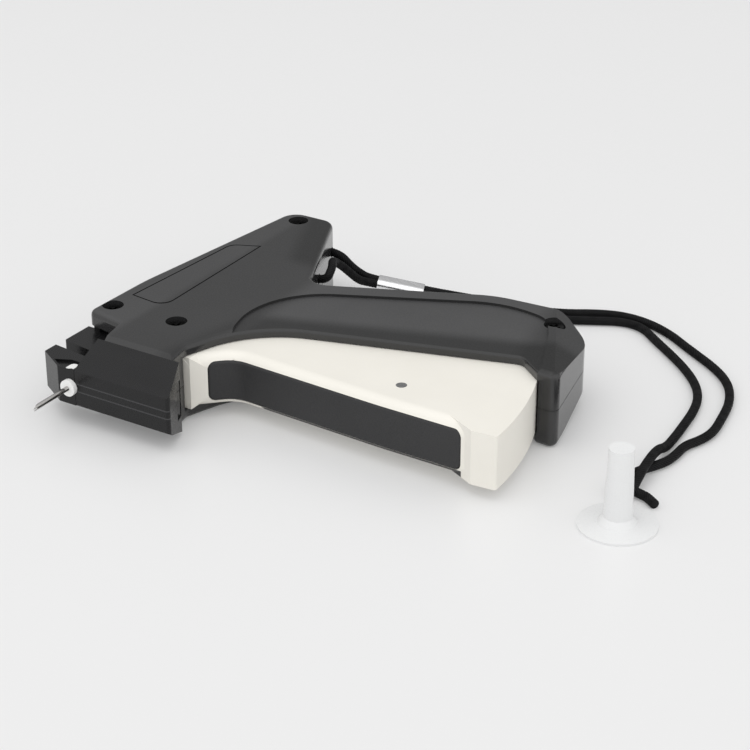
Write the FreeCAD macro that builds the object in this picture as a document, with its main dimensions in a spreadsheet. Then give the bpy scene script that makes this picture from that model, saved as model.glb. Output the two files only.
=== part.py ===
"""Garment tag attacher, lying on its side, with its wrist strap and the cap of its needle.

Along X the needle points to -X and the tail to +X, Y runs from the handle's end up to the
barrel, and Z is the tool's thickness. Places in plan are measured from the needle's axis and
from the front plane of the housing; every body is then shifted so that the origin lies in the
middle of the floor below the tool and its cap.
"""
import FreeCAD, Part
import math
import os

import Sketcher
from FreeCAD import Vector

# Driving sizes in millimetres, and angles in degrees.
SIZES = {
    # whole tool
    "body_length": 117.5,
    "grip_drop": 138.6,
    "body_thickness": 26.0,
    "wall": 2.2,
    "side_wall": 3.7,
    "edge_round": 2.2,
    "fit_gap": 0.15,
    "running_gap": 0.05,
    "overrun": 1.0,
    # corners of the housing's outline
    "crisp_corner": 2.6,
    "front_corner": 4.0,
    "tail_top_corner": 7.0,
    "tail_low_corner": 5.0,
    "crotch_corner": 7.0,
    "back_bend": 34.0,
    "heel_corner": 13.0,
    "heel_slope_turn": -63.2,
    "heel_slope_run": 9.0,
    "heel_slope_drop": 5.0,
    "end_corner": 14.0,
    "top_bend": 90.0,
    "throat_corner": 34.0,
    "small_corner": 1.0,
    # housing details
    "panel_depth": 0.9,
    "panel_corner": 9.0,
    "panel_bend": 28.0,
    "groove_width": 0.55,
    "groove_depth": 0.4,
    "plaque_corner": 4.5,
    "nose_bevel_run": 2.0,
    "nose_bevel_drop": 0.95,
    "boss_radius": 3.4,
    "screw_recess_radius": 3.5,
    "screw_recess_depth": 3.2,
    "screw_head_radius": 2.9,
    "screw_head_height": 1.6,
    "screw_shank_radius": 1.3,
    "screw_length": 15.0,
    "drive_slot_width": 0.9,
    "drive_slot_depth": 0.9,
    "rail_width": 1.2,
    # nose
    "nose_reach": 12.5,
    "nose_band_run": 2.0,
    "nose_face_height": 12.0,
    "nose_band_height": 14.6,
    "nose_back_height": 24.1,
    "cover_wall": 1.6,
    "cover_hollow_height": 12.6,
    "holder_thickness": 12.4,
    "guide_thickness": 11.0,
    "window_rise": 2.2,
    "needle_tip_reach": 31.0,
    "needle_radius": 0.8,
    "needle_bore_radius": 0.52,
    "needle_slit": 0.6,
    "needle_bevel_run": 4.5,
    "hub_disc_radius": 2.75,
    "hub_disc_thickness": 1.5,
    "hub_body_radius": 1.6,
    "hub_body_length": 6.5,
    "stem_radius": 1.4,
    "stem_rise": 0.2,
    "stem_recess_depth": 0.8,
    "push_rod_radius": 0.4,
    # trigger
    "trigger_thickness": 18.0,
    "trigger_wall": 2.4,
    "trigger_front_round": 4.0,
    "trigger_pin_radius": 2.0,
    "trigger_ear_radius": 5.0,
    "trigger_throw": 13.0,
    "finger_bend": 9.0,
    "finger_sweep": 250.0,
    "pad_thickness": 2.4,
    "pad_width": 13.8,
    "pad_round": 1.0,
    "pad_end_corner": 2.6,
    "link_pin_radius": 1.75,
    # lever, slider and feed
    "lever_swing": 27.1,
    "lever_thickness": 4.0,
    "lever_reach": 65.2,
    "lever_tip_radius": 2.4,
    "lever_arm_half_width": 2.0,
    "lever_hub_radius": 3.0,
    "lever_disc_radius": 5.0,
    "lever_hub_height": 9.6,
    "lever_fork_half_width": 4.4,
    "lever_fork_length": 37.5,
    "lever_fork_slot_half_width": 2.75,
    "lever_fork_slot_start": 21.0,
    "lever_pin_radius": 1.5,
    "bracket_cheek": 1.4,
    "bracket_opening": 10.0,
    "bracket_half_width": 5.0,
    "bracket_post_radius": 4.0,
    "slider_length": 15.0,
    "slider_low": 5.0,
    "slider_high": 3.2,
    "slider_thickness": 8.0,
    "slider_slot_half_width": 3.0,
    "spring_wire_radius": 0.4,
    "spring_coil_radius": 3.8,
    "spring_pitch": 1.25,
    "wheel_tip_radius": 4.6,
    "wheel_root_radius": 3.1,
    "wheel_thickness": 6.0,
    "wheel_tooth_half_width": 0.55,
    "wheel_axle_radius": 1.0,
    "pawl_half_width": 0.8,
    "pawl_nose_half_width": 0.35,
    "pawl_boss_radius": 1.5,
    "pawl_pin_radius": 0.7,
    "pawl_thickness": 3.0,
    # strap
    "strap_radius": 1.5,
    "strap_hole_radius": 1.9,
    "strap_height": 18.0,
    "strap_height_far": 16.0,
    "sleeve_wall": 0.35,
    "knot_half_length": 4.4,
    "knot_half_width": 3.4,
    "knot_half_height": 2.9,
    # cap of the needle
    "cap_flange_radius": 11.9,
    "cap_flange_thickness": 1.5,
    "cap_root_radius": 4.4,
    "cap_root_height": 3.4,
    "cap_tip_radius": 3.7,
    "cap_height": 25.5,
    "cap_bore_radius": 1.7,
    "cap_bore_depth": 21.0,
}

# Tooth count of the feed wheel.
WHEEL_TEETH = 12

# Turns of the return spring, and corners of the outline that each turn is drawn from.
WINDINGS = 1.5
CORNERS = 8

# Places in plan, as shares of the body's length and of the grip's drop.
PLACE_SHARES = {
    "trigger_pivot": (0.11064, -0.17316),
    "link_pin": (0.24085, -0.69481),
    "lever_pivot": (0.38298, -0.47619),
    "bracket_post": (0.58723, -0.47619),
    "screw_front_top": (0.17532, 0.05988),
    "screw_front_low": (0.18468, -0.11833),
    "screw_tail": (0.94298, -0.02453),
    "screw_heel": (0.7217, -0.85859),
    "heel_slope": (0.72681, -0.86003),
    "feed_wheel": (-0.05191, -0.10967),
    "pawl_pivot": (-0.0783, -0.15873),
    "pawl_heel": (-0.04766, -0.15873),
    "pawl_nose_root": (-0.05191, -0.15873),
    "pawl_nose": (-0.05191, -0.14141),
    "rail_front": (0.1617, 0.0),
    "rail_rear": (0.85957, 0.0),
    "hub_stem_front": (-0.09277, 0.00649),
    "hub_stem_rear": (-0.07745, 0.00649),
    "strap_hole_near": (0.74468, -0.19769),
    "strap_hole_far": (0.96085, -0.11573),
    "knot": (0.33106, -1.1991),
    "cap": (0.19064, -1.2489),
}

# Outline of the housing: nose, cut-back top corner, barrel, tail, crotch, handle and throat.
HOUSING_SHARES = [
    (0.0, -0.22367, None),
    (0.0, -0.03319, None),
    (0.09362, -0.01587, None),
    (0.11915, 0.09452, "crisp_corner"),
    (0.35745, 0.08947, "top_bend"),
    (1, 0.0267, "tail_top_corner"),
    (1, -0.10101, "tail_low_corner"),
    (0.58638, -0.25685, "crotch_corner"),
    (0.8, -0.66883, "back_bend"),
    (0.81362, -0.84416, "heel_corner"),
    (0.73617, -0.93939, "end_corner"),
    (0.44255, -0.9899, "crisp_corner"),
    (0.44596, -0.93795, None),
    (0.50468, -0.87446, "front_corner"),
    (0.29277, -0.27201, "throat_corner"),
    (0.0766, -0.21068, "front_corner"),
]

# Hollow of the housing; it runs out through the throat, where the trigger comes in.
HOLLOW_SHARES = [
    (0.06043, -0.07937, None),
    (0.13617, -0.07937, None),
    (0.13617, 0.07864, None),
    (0.35745, 0.07287, "top_bend"),
    (0.98128, 0.01371, "tail_low_corner"),
    (0.98128, -0.08874, "crisp_corner"),
    (0.5617, -0.24531, "crotch_corner"),
    (0.77872, -0.67244, "back_bend"),
    (0.77106, -0.8153, "small_corner"),
    (0.6834, -0.829, None),
    (0.56936, -0.89755, "trigger_reach"),
    (0.42809, -0.94805, None),
    (0.4, -0.8658, None),
    (0.19574, -0.30303, None),
    (0.06043, -0.24531, None),
]

# Sunken panel of the handle's side; it runs out over the throat's edge.
PANEL_SHARES = [
    (0.17021, -0.27417, None),
    (0.24255, -0.24531, "panel_corner"),
    (0.47319, -0.19264, "panel_bend"),
    (0.76, -0.71068, "back_bend"),
    (0.73362, -0.83405, "panel_corner"),
    (0.64681, -0.8759, "panel_corner"),
    (0.4766, -0.93506, "small_corner"),
    (0.40851, -0.92352, None),
    (0.2383, -0.4329, None),
]

# Leaf of the bare plaque on the barrel: two sharp corners and two round ones.
PLAQUE_SHARES = [
    (0.25532, 0.057, None),
    (0.68936, 0.03319, "plaque_corner"),
    (0.72681, -0.03824, None),
    (0.2417, -0.04618, "plaque_corner"),
]

# Outline of the trigger, from its ear down the finger side to the foot and back inside.
TRIGGER_SHARES = [
    (0.06468, -0.1342, "trigger_ear_radius"),
    (0.07489, -0.22222, None),
    (0.16, -0.29582, "finger_bend"),
    (0.13787, -0.68543, "finger_sweep"),
    (0.13447, -0.9062, None),
    (0.1217, -0.92785, None),
    (0.12681, -0.98773, "small_corner"),
    (0.31404, -0.98268, "trigger_reach"),
    (0.49021, -0.9228, "small_corner"),
    (0.5234, -0.83694, None),
    (0.37021, -0.37734, "finger_bend"),
    (0.29362, -0.26696, "finger_bend"),
    (0.1566, -0.18398, None),
    (0.1566, -0.1342, "trigger_ear_radius"),
]

# Channel inside the trigger, open towards the handle's back.
CHANNEL_SHARES = [
    (0.11915, -0.22294, "small_corner"),
    (0.19149, -0.28571, "finger_bend"),
    (0.17021, -0.68543, "finger_sweep"),
    (0.16851, -0.96392, "small_corner"),
    (0.30979, -0.95238, None),
    (0.42553, -0.92352, None),
    (0.52766, -0.88745, None),
    (0.59574, -0.7215, None),
    (0.42553, -0.25974, None),
    (0.25532, -0.18759, None),
]

# Finger pad: its inner line, seen from above, from top to bottom; and its outer line.
PAD_OUTER_SHARES = [
    (0.10809, -0.25094),
    (0.16, -0.29582),
    (0.13787, -0.68543),
    (0.13532, -0.89755),
]
PAD_RECESS_SHARES = [
    (0.09362, -0.26378),
    (0.14298, -0.30592),
    (0.12085, -0.68543),
    (0.1183, -0.89755),
]
PAD_INNER_SHARES = [
    (0.15574, -0.89755),
    (0.1583, -0.68543),
    (0.18128, -0.28824),
    (0.12255, -0.2381),
]

# Needle holder in front, with a tongue that runs back under the cover.
HOLDER_SHARES = [
    (-0.01021, 0.10534, None),
    (-0.05617, 0.10534, None),
    (-0.10638, 0.03391, "small_corner"),
    (-0.10638, -0.01335, None),
    (-0.09106, -0.01335, None),
    (-0.09106, -0.06349, None),
    (-0.02723, -0.06349, None),
    (-0.02723, -0.01082, None),
]

# Shallow recess round the hub's stem on the holder's top.
STEM_RECESS_SHARES = [
    (-0.10043, -0.00866, None),
    (-0.05957, -0.00866, None),
    (-0.05957, 0.02453, None),
    (-0.08, 0.06061, None),
    (-0.10043, 0.03175, None),
]

# Clip guide behind the slot: the front of the inner frame.
GUIDE_SHARES = [
    (0.03234, 0.10967, "small_corner"),
    (0.13617, 0.10967, None),
    (0.13617, -0.06277, None),
    (0.01277, -0.06277, None),
    (0.01277, -0.02958, None),
    (0.00255, -0.02958, None),
    (0.01957, 0.02525, None),
]

# Window in the housing that the clip guide sits in.
WINDOW_SHARES = [
    (-0.01702, 0.12266, None),
    (0.13745, 0.12266, None),
    (0.13745, -0.06385, None),
    (0.01149, -0.06385, None),
    (0.01149, -0.0303, None),
    (-0.01702, -0.0303, None),
]

# Plan of the nose cover.
COVER_SHARES = [
    (-0.10638, -0.01443, None),
    (-0.10638, -0.27922, "small_corner"),
    (0.0, -0.24242, None),
    (0.0, -0.01443, None),
]
COVER_HOLLOW_SHARES = [
    (-0.09277, -0.00722, None),
    (-0.09277, -0.26118, "small_corner"),
    (-0.03404, -0.24098, None),
    (-0.03404, -0.25974, None),
    (-0.00766, -0.25974, None),
    (0.00851, -0.21645, None),
    (0.00851, -0.00722, None),
]

# The strap's route, chosen by hand and measured from the needle's axis and the front plane:
# inside the tail, then each strand from its hole through the sleeve to the knot, and the tail.
STRAP_INSIDE = [
    (87.5, -25.89, 18.0),
    (87.5, -22.0, 18.0),
    (89.5, -16.5, 18.0),
    (96.0, -12.4, 18.0),
    (104.0, -10.3, 17.6),
    (110.6, -9.7, 16.6),
    (112.9, -12.4, 16.0),
    (112.9, -16.01, 16.0),
]
STRAND_NEAR = [
    (87.5, -25.9, 18.0),
    (87.5, -30.3, 18.0),
    (91.8, -30.0, 21.2),
    (97.4, -26.4, 20.8),
    (101.8, -24.5, 18.4),
    (106.2, -24.6, 15.2),
    (109.8, -25.7, 11.4),
    (113.2, -27.3, 7.6),
    (117.41, -28.44, 5.54),
    (126.79, -49.16, 1.76),
    (128.6, -58.5, 1.5),
    (130.4, -70.0, 1.5),
    (131.2, -84.0, 1.5),
    (133.4, -97.0, 1.5),
    (139.4, -107.8, 1.5),
    (143.6, -116.0, 1.5),
    (142.8, -123.8, 1.5),
    (136.6, -131.0, 1.5),
    (129.2, -140.4, 1.5),
    (122.1, -148.7, 1.5),
    (113.9, -156.3, 1.5),
    (105.3, -161.3, 1.5),
    (95.5, -163.9, 1.5),
    (85.3, -165.1, 1.5),
    (76.0, -166.1, 1.5),
    (69.0, -166.5, 1.7),
    (61.8, -166.9, 4.7),
    (50.0, -168.2, 4.8),
    (42.9, -169.0, 2.9),
]
STRAND_FAR = [
    (112.9, -16.01, 16.0),
    (112.9, -19.6, 16.0),
    (114.4, -23.2, 11.6),
    (116.8, -25.4, 8.6),
    (120.51, -27.04, 5.54),
    (129.89, -47.76, 1.76),
    (131.9, -57.2, 1.5),
    (133.9, -70.0, 1.5),
    (134.8, -83.2, 1.5),
    (138.8, -95.3, 1.5),
    (145.2, -105.4, 1.5),
    (148.2, -114.4, 1.5),
    (147.2, -124.4, 1.5),
    (142.9, -134.1, 1.5),
    (137.6, -141.7, 1.5),
    (132.8, -149.0, 1.5),
    (128.2, -156.0, 1.5),
    (122.4, -162.8, 1.5),
    (115.4, -167.8, 1.5),
    (106.4, -171.4, 1.5),
    (97.0, -173.2, 1.5),
    (86.6, -174.8, 1.5),
    (79.6, -173.6, 1.5),
    (73.6, -170.8, 1.5),
    (66.6, -171.0, 1.5),
    (60.6, -170.2, 1.5),
    (50.0, -165.1, 2.0),
    (43.35, -165.6, 2.9),
]
STRAP_TAIL = [
    (39.1, -169.65, 2.4),
    (39.4, -172.2, 1.7),
    (39.0, -175.0, 1.5),
    (36.5, -178.2, 1.5),
]
SLEEVE_ENDS = [
    (120.3, -30.7, 5.0),
    (127.0, -45.5, 2.3),
]


class Size:
    """A number together with the sheet formula that gives it."""

    def __init__(self, value, formula=None):
        self.value = float(value)
        self.formula = formula if formula else repr(float(value))
        self.named = formula is not None

    def joined(self, other, sign, value):
        other = as_size(other)
        size = Size(value, "(%s %s %s)" % (self.formula, sign, other.formula))
        size.named = self.named or other.named
        return size

    def __add__(self, other):
        return self.joined(other, "+", self.value + as_size(other).value)

    def __sub__(self, other):
        return self.joined(other, "-", self.value - as_size(other).value)

    def __mul__(self, other):
        return self.joined(other, "*", self.value * as_size(other).value)

    def __truediv__(self, other):
        return self.joined(other, "/", self.value / as_size(other).value)

    def __neg__(self):
        return as_size(0) - self


def as_size(number):
    return number if isinstance(number, Size) else Size(number)


class SizeSheet:
    """The spreadsheet of driving sizes, read by name."""

    def __init__(self, doc):
        sheet = doc.addObject("Spreadsheet::Sheet", "Sizes")
        for row, (alias, number) in enumerate(SIZES.items(), 1):
            sheet.set("A%d" % row, alias)
            sheet.set("B%d" % row, str(number))
            sheet.setAlias("B%d" % row, alias)
        doc.recompute()
        self.sheet = sheet

    def __getattr__(self, alias):
        return Size(self.sheet.get(alias), "Sizes." + alias)


doc = FreeCAD.newDocument("garment_tag_attacher")
S = SizeSheet(doc)
ZERO = as_size(0)

SPLIT = S.body_thickness / 2
ORIGIN_X = (S.body_length - S.needle_tip_reach) / 2
GUIDE_TOP = S.grip_drop * GUIDE_SHARES[0][1]
CAP_LOW = S.grip_drop * PLACE_SHARES["cap"][1] - S.cap_flange_radius
ORIGIN_Y = (GUIDE_TOP + CAP_LOW) / 2
TRIGGER_FLOOR = (S.body_thickness - S.trigger_thickness) / 2


def place(name):
    share_x, share_y = PLACE_SHARES[name]
    return S.body_length * share_x, S.grip_drop * share_y


def plan_point(shares):
    return S.body_length * shares[0], S.grip_drop * shares[1]


def trigger_reach():
    """Distance from the trigger's pivot to the foot's end face."""
    x, y = place("trigger_pivot")
    foot_x, foot_y = plan_point(TRIGGER_SHARES[6])
    return math.hypot(foot_x.value - x.value, foot_y.value - y.value)


def corners(table):
    """Corners of an outline table: two places and a named radius each."""
    found = []
    for share_x, share_y, radius in table:
        x, y = plan_point((share_x, share_y))
        if radius == "trigger_reach":
            radius = as_size(trigger_reach())
        elif radius:
            radius = getattr(S, radius)
        found.append((x, y, radius))
    return found


def swung(centre, reach, degrees):
    """The place at a reach from a centre, in the direction of an angle."""
    turn = math.radians(degrees)
    return centre[0] + reach * math.cos(turn), centre[1] + reach * math.sin(turn)


def bind(thing, name, size):
    size = as_size(size)
    if size.named:
        thing.setExpression(name, size.formula)
    elif "." not in name and "[" not in name:
        setattr(thing, name, size.value)


def new_body(name, shifted=True):
    body = doc.addObject("PartDesign::Body", name)
    body.Label = name
    if shifted:
        bind(body, "Placement.Base.x", -ORIGIN_X)
        bind(body, "Placement.Base.y", -ORIGIN_Y)
    return body


def new_sketch(body, name, plane="XY_Plane", height=ZERO):
    sketch = body.newObject("Sketcher::SketchObject", name)
    base = [item for item in body.Origin.OriginFeatures if item.Role == plane][0]
    sketch.AttachmentSupport = (base, [""])
    sketch.MapMode = "FlatFace"
    bind(sketch, "AttachmentOffset.Base.z", height)
    return sketch


def pin_point(sketch, rules, geometry, point, x, y):
    """Ties one sketch point to its two sizes."""
    for direction, size in (("DistanceX", x), ("DistanceY", y)):
        rule = Sketcher.Constraint(direction, -1, 1, geometry, point, size.value)
        rules.append((rule, size))


def add_rules(sketch, rules):
    first = sketch.ConstraintCount
    sketch.addConstraint([rule for rule, size in rules])
    for step, (rule, size) in enumerate(rules):
        if size is not None and size.named:
            sketch.setExpression("Constraints[%d]" % (first + step), size.formula)


def draw_circle(sketch, x, y, radius):
    centre = Vector(x.value, y.value, 0)
    number = sketch.addGeometry(Part.Circle(centre, Vector(0, 0, 1), radius.value))
    rules = [(Sketcher.Constraint("Radius", number, radius.value), radius)]
    pin_point(sketch, rules, number, 3, x, y)
    add_rules(sketch, rules)


def draw_outline(sketch, points):
    """A closed outline of straight runs; a corner with a radius gets a tangent arc."""
    count = len(points)
    spots = [Vector(x.value, y.value, 0) for x, y, radius in points]
    leave, arrive, arcs = [], [], []
    for step, (x, y, radius) in enumerate(points):
        spot = spots[step]
        back = (spots[step - 1] - spot).normalize()
        ahead = (spots[(step + 1) % count] - spot).normalize()
        if radius is None:
            leave.append(spot)
            arrive.append(spot)
            arcs.append(None)
            continue
        half = back.getAngle(ahead) / 2
        cut = radius.value / math.tan(half)
        start, end = spot + back * cut, spot + ahead * cut
        centre = spot + (back + ahead).normalize() * (radius.value / math.sin(half))
        turn_left = (-back).cross(ahead).z > 0
        first, last = (start, end) if turn_left else (end, start)
        angles = [math.atan2(p.y - centre.y, p.x - centre.x) for p in (first, last)]
        circle = Part.Circle(centre, Vector(0, 0, 1), radius.value)
        arcs.append((Part.ArcOfCircle(circle, angles[0], angles[1]), turn_left))
        arrive.append(start)
        leave.append(end)
    lines = []
    for step in range(count):
        run = Part.LineSegment(leave[step], arrive[(step + 1) % count])
        lines.append(sketch.addGeometry(run))
    rules = []
    for step, (x, y, radius) in enumerate(points):
        before, after = lines[step - 1], lines[step]
        if radius is None:
            rules.append((Sketcher.Constraint("Coincident", before, 2, after, 1), None))
            pin_point(sketch, rules, after, 1, x, y)
            continue
        arc, turn_left = arcs[step]
        number = sketch.addGeometry(arc)
        corner = sketch.addGeometry(Part.Point(spots[step]), True)
        first, last = (1, 2) if turn_left else (2, 1)
        rules.append((Sketcher.Constraint("PointOnObject", corner, 1, before), None))
        rules.append((Sketcher.Constraint("PointOnObject", corner, 1, after), None))
        rules.append((Sketcher.Constraint("Tangent", before, 2, number, first), None))
        rules.append((Sketcher.Constraint("Tangent", number, last, after, 1), None))
        rules.append((Sketcher.Constraint("Radius", number, radius.value), radius))
        pin_point(sketch, rules, corner, 1, x, y)
    add_rules(sketch, rules)


def draw_bar(sketch, start, end, radius):
    """A bar with round ends between two places."""
    first = Vector(start[0].value, start[1].value, 0)
    last = Vector(end[0].value, end[1].value, 0)
    along = (last - first).normalize()
    side = Vector(-along.y, along.x, 0) * radius.value
    up = math.atan2(side.y, side.x)
    axis = Vector(0, 0, 1)
    cap_one = Part.ArcOfCircle(Part.Circle(first, axis, radius.value), up, up + math.pi)
    cap_two = Part.ArcOfCircle(Part.Circle(last, axis, radius.value), up - math.pi, up)
    one = sketch.addGeometry(cap_one)
    two = sketch.addGeometry(cap_two)
    low = sketch.addGeometry(Part.LineSegment(first - side, last - side))
    high = sketch.addGeometry(Part.LineSegment(last + side, first + side))
    rules = [
        (Sketcher.Constraint("Tangent", one, 2, low, 1), None),
        (Sketcher.Constraint("Tangent", low, 2, two, 1), None),
        (Sketcher.Constraint("Tangent", two, 2, high, 1), None),
        (Sketcher.Constraint("Tangent", high, 2, one, 1), None),
        (Sketcher.Constraint("Equal", one, two), None),
        (Sketcher.Constraint("Radius", one, radius.value), radius),
    ]
    pin_point(sketch, rules, one, 3, start[0], start[1])
    pin_point(sketch, rules, two, 3, end[0], end[1])
    add_rules(sketch, rules)


def box_points(x_low, x_high, y_low, y_high):
    x_low, x_high, y_low, y_high = [as_size(v) for v in (x_low, x_high, y_low, y_high)]
    return [(x_low, y_low, None), (x_high, y_low, None), (x_high, y_high, None), (x_low, y_high, None)]


def pad(body, sketch, length, up=True):
    """Adds the sketch's outline, upwards along its normal or downwards."""
    feature = body.newObject("PartDesign::Pad", body.Name + "_raised")
    feature.Profile = sketch
    bind(feature, "Length", length)
    feature.Reversed = not up
    doc.recompute()
    return feature


def pocket(body, sketch, length, up=False):
    """Cuts the sketch's outline, downwards against its normal or upwards, and proves the cut."""
    before = body.Tip.Shape.Volume
    feature = body.newObject("PartDesign::Pocket", body.Name + "_sunk")
    feature.Profile = sketch
    bind(feature, "Length", length)
    feature.Reversed = up
    doc.recompute()
    if feature.Shape.Volume >= before:
        raise ValueError("nothing cut in " + body.Name)
    return feature


def drawn(body, name, draw, *sizes, plane="XY_Plane", height=ZERO):
    """A new sketch with one drawing in it."""
    sketch = new_sketch(body, body.Name + "_" + name, plane, height)
    draw(sketch, *sizes)
    doc.recompute()
    return sketch


def edges_where(feature, keep):
    """Names of the edges that a test keeps."""
    edges = enumerate(feature.Shape.Edges, 1)
    return ["Edge%d" % number for number, edge in edges if keep(edge)]


def lies_at(height):
    """A test for edges that lie wholly at one height."""
    def test(edge):
        box = edge.BoundBox
        return abs(box.ZMin - height.value) < 1e-4 and abs(box.ZMax - height.value) < 1e-4
    return test


def round_edges(body, feature, names, radius):
    fillet = body.newObject("PartDesign::Fillet", body.Name + "_round")
    fillet.Base = (feature, names)
    bind(fillet, "Radius", radius)
    doc.recompute()
    return fillet


def bevel_edges(body, feature, names, size):
    chamfer = body.newObject("PartDesign::Chamfer", body.Name + "_bevel")
    chamfer.Base = (feature, names)
    bind(chamfer, "Size", size)
    doc.recompute()
    return chamfer


def nose_edge(height):
    """A test for the crisp edges round the nose, which stay unrounded."""
    notch_x, notch_y = plan_point(HOUSING_SHARES[3])[0], plan_point(HOUSING_SHARES[1])[1]
    near = S.fit_gap.value
    flat = lies_at(height)

    def test(edge):
        box = edge.BoundBox
        in_front = box.XMax < notch_x.value + near and box.YMax > notch_y.value - near
        return flat(edge) and in_front
    return test


def heel_wedge(name, face, beyond, upper):
    """The waste above the slope that thins the handle's end towards its heel."""
    wedge = new_body(name, False)
    x, y = place("heel_slope")
    bind(wedge, "Placement.Base.x", x)
    bind(wedge, "Placement.Base.y", y)
    wedge.Placement.Rotation = FreeCAD.Rotation(Vector(0, 0, 1), S.heel_slope_turn.value)
    run, drop = S.heel_slope_run * 2, S.heel_slope_drop * 2
    foot = face - drop if upper else face + drop
    waste = [(ZERO, face, None), (run, foot, None), (run, beyond, None), (ZERO, beyond, None)]
    half = S.grip_drop * 0.3
    pad(wedge, drawn(wedge, "side", draw_outline, waste, plane="XZ_Plane", height=half), half * 2, False)
    return wedge


def cut_away(body, waste):
    """Takes one body out of another, in the second one's own frame."""
    cut = body.newObject("PartDesign::Boolean", body.Name + "_less")
    cut.Type = "Cut"
    cut.setObjects([waste])
    doc.recompute()
    return cut


def housing_half(name, upper):
    """One half of the housing, built outwards from the split plane."""
    body = new_body(name)
    face = S.body_thickness if upper else ZERO
    inner_face = S.body_thickness - S.side_wall if upper else S.side_wall
    shell = pad(body, drawn(body, "outline", draw_outline, corners(HOUSING_SHARES), height=SPLIT), SPLIT, upper)
    outer, crisp = lies_at(face), nose_edge(face)
    names = edges_where(shell, lambda edge: outer(edge) and not crisp(edge))
    round_edges(body, shell, names, S.edge_round)

    bevel_low = face - S.nose_bevel_drop if upper else face + S.nose_bevel_drop
    beyond = face + S.overrun if upper else face - S.overrun
    slope = S.nose_bevel_run / S.nose_bevel_drop
    bevel = [
        (-S.overrun, bevel_low, None),
        (ZERO, bevel_low, None),
        (S.nose_bevel_run + S.overrun * slope, beyond, None),
        (-S.overrun, beyond, None),
    ]
    pocket(body, drawn(body, "bevel", draw_outline, bevel, plane="XZ_Plane"), S.grip_drop / 3, True)

    cut_away(body, heel_wedge(name + "_wedge", face, beyond, upper))

    hollow = drawn(body, "hollow", draw_outline, corners(HOLLOW_SHARES), height=SPLIT)
    pocket(body, hollow, SPLIT - S.side_wall, upper)
    window = drawn(body, "window", draw_outline, corners(WINDOW_SHARES), height=SPLIT)
    window_height = S.guide_thickness / 2 + (S.window_rise if upper else S.fit_gap)
    pocket(body, window, window_height, upper)
    panel = drawn(body, "panel", draw_outline, corners(PANEL_SHARES), height=face)
    pocket(body, panel, S.panel_depth, not upper)

    depth = SPLIT - S.side_wall
    for spot in ("screw_front_top", "screw_front_low", "screw_tail"):
        boss = drawn(body, spot, draw_circle, *place(spot), S.boss_radius, height=inner_face)
        pad(body, boss, depth, not upper)
    rail_height = depth - S.slider_thickness / 2 - S.fit_gap
    for side in (S.slider_high - S.rail_width, S.rail_width - S.slider_low):
        ends = [(place(end)[0], side) for end in ("rail_front", "rail_rear")]
        rail = drawn(body, "rail", draw_bar, *ends, S.rail_width / 2, height=inner_face)
        pad(body, rail, rail_height, not upper)
    bracket_thickness = S.bracket_opening + S.bracket_cheek * 2
    post = drawn(body, "post", draw_circle, *place("bracket_post"), S.bracket_post_radius, height=inner_face)
    pad(body, post, depth - bracket_thickness / 2, not upper)

    pin_hole = drawn(body, "pin_hole", draw_circle, *place("trigger_pivot"), S.trigger_pin_radius, height=SPLIT)
    pocket(body, pin_hole, SPLIT - S.side_wall / 2, upper)
    for spot in SCREW_SPOTS:
        if upper:
            recess = drawn(body, "recess", draw_circle, *place(spot), S.screw_recess_radius, height=face)
            pocket(body, recess, S.screw_recess_depth)
        radius = S.screw_shank_radius + S.fit_gap if upper else S.screw_shank_radius
        shank = drawn(body, "shank", draw_circle, *place(spot), radius, height=SPLIT)
        pocket(body, shank, SPLIT if upper else S.screw_length - SPLIT + S.screw_recess_depth, upper)
    if upper:
        finish_upper(body)
    return body


def finish_upper(body):
    """The plaque's groove on the barrel and the two holes of the strap in the tail."""
    face = S.body_thickness
    plaque = corners(PLAQUE_SHARES)
    outer = drawn(body, "plaque", draw_outline, plaque, height=face)
    pocket(body, outer, S.groove_depth)
    inner = drawn(body, "plaque_field", draw_outline, inset(plaque, S.groove_width), height=face)
    pad(body, inner, S.groove_depth, False)
    for spot, height in (("strap_hole_near", S.strap_height), ("strap_hole_far", S.strap_height_far)):
        x, y = place(spot)
        start = y + S.wall * 2
        hole = drawn(body, spot, draw_circle, x, height, S.strap_hole_radius, plane="XZ_Plane", height=-start)
        pocket(body, hole, S.wall * 4, True)


def inset(points, distance):
    """The same outline, moved inwards by a distance along each corner's bisector."""
    count = len(points)
    spots = [Vector(x.value, y.value, 0) for x, y, radius in points]
    area = sum(spots[i - 1].cross(spots[i]).z for i in range(count))
    inward = 1 if area > 0 else -1
    moved = []
    for step, (x, y, radius) in enumerate(points):
        before = (spots[step] - spots[step - 1]).normalize()
        after = (spots[(step + 1) % count] - spots[step]).normalize()
        normals = [Vector(-run.y, run.x, 0) * inward for run in (before, after)]
        shift = (normals[0] + normals[1]) / (1 + normals[0].dot(normals[1]))
        moved.append((x + distance * shift.x, y + distance * shift.y, radius))
    return moved


SCREW_SPOTS = ("screw_front_top", "screw_front_low", "screw_tail", "screw_heel")


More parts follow.
